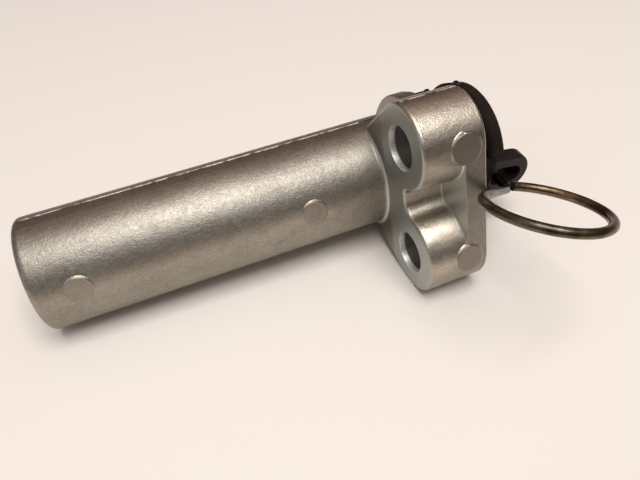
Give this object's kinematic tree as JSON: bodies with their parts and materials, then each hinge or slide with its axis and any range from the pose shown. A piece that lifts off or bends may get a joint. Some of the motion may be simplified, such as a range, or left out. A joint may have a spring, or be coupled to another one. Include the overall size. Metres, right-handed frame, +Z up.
{
  "type": "hydraulic timing belt tensioner",
  "caption": "Hydraulic belt tensioner: cast aluminium cylinder with two bolt lugs, a black slotted-ear boot on its nose and a wire pull pin with a ring that holds the plunger in.",
  "frame": {"origin": "on the plunger's axis, in the plane of the plate's face that bolts to the engine", "axes": "+X along the axis, the way the plunger pushes; +Z up with the part rolled about X as it lies on a table, the bolt lugs towards -Y"},
  "size_m": [0.1097, 0.0674, 0.0412],
  "materials": {
    "cast_aluminium": "satin die casting with a fine grain",
    "boot_rubber": "black, half gloss, with mould flash",
    "pin_wire": "bronze-brown drawn wire, glossy",
    "sleeve_steel": "honed",
    "washer_steel": "plain",
    "bush_bronze": "machined bronze",
    "case_steel": "pressed, zinc plated",
    "seal_rubber": "dark rubber",
    "spring_steel": "drawn wire",
    "snap_ring_steel": "phosphated",
    "ground_steel": "ground",
    "hardened_steel": "polished",
    "piston_steel": "machined",
    "wear_plastic": "bronze-filled plastic"
  },
  "bodies": {
    "housing_body": {"housing": "cast_aluminium", "dust_boot": "boot_rubber", "chamber_sleeve": "sleeve_steel", "sleeve_o_ring": "seal_rubber", "spring_seat": "washer_steel", "guide_bush": "bush_bronze", "seal_washer": "washer_steel", "seal_case": "case_steel", "seal_lip": "seal_rubber", "garter_spring": "spring_steel", "snap_ring": "snap_ring_steel", "return_spring": "spring_steel"},
    "plunger_body": {"plunger": "ground_steel", "rod_tip": "hardened_steel", "piston": "piston_steel", "wear_ring": "wear_plastic", "check_cage": "case_steel", "check_spring": "spring_steel"},
    "ball_body": {"check_ball": "hardened_steel"},
    "pin_body": {"pull_pin": "pin_wire"}
  },
  "joints": [
    {"name": "plunger_slide", "type": "slide", "parent": "housing_body", "child": "plunger_body", "axis": [1, 0, 0], "range_m": [0, 0.005], "deforming": ["return_spring"]},
    {"name": "pin_pull", "type": "slide", "parent": "plunger_body", "child": "pin_body", "axis": [0, -0.9982, -0.0593], "range_m": [0, 0.034]},
    {"name": "check_ball_lift", "type": "slide", "parent": "plunger_body", "child": "ball_body", "axis": [-1, 0, 0], "range_m": [0, 0.0006], "deforming": ["check_spring"]}
  ]
}
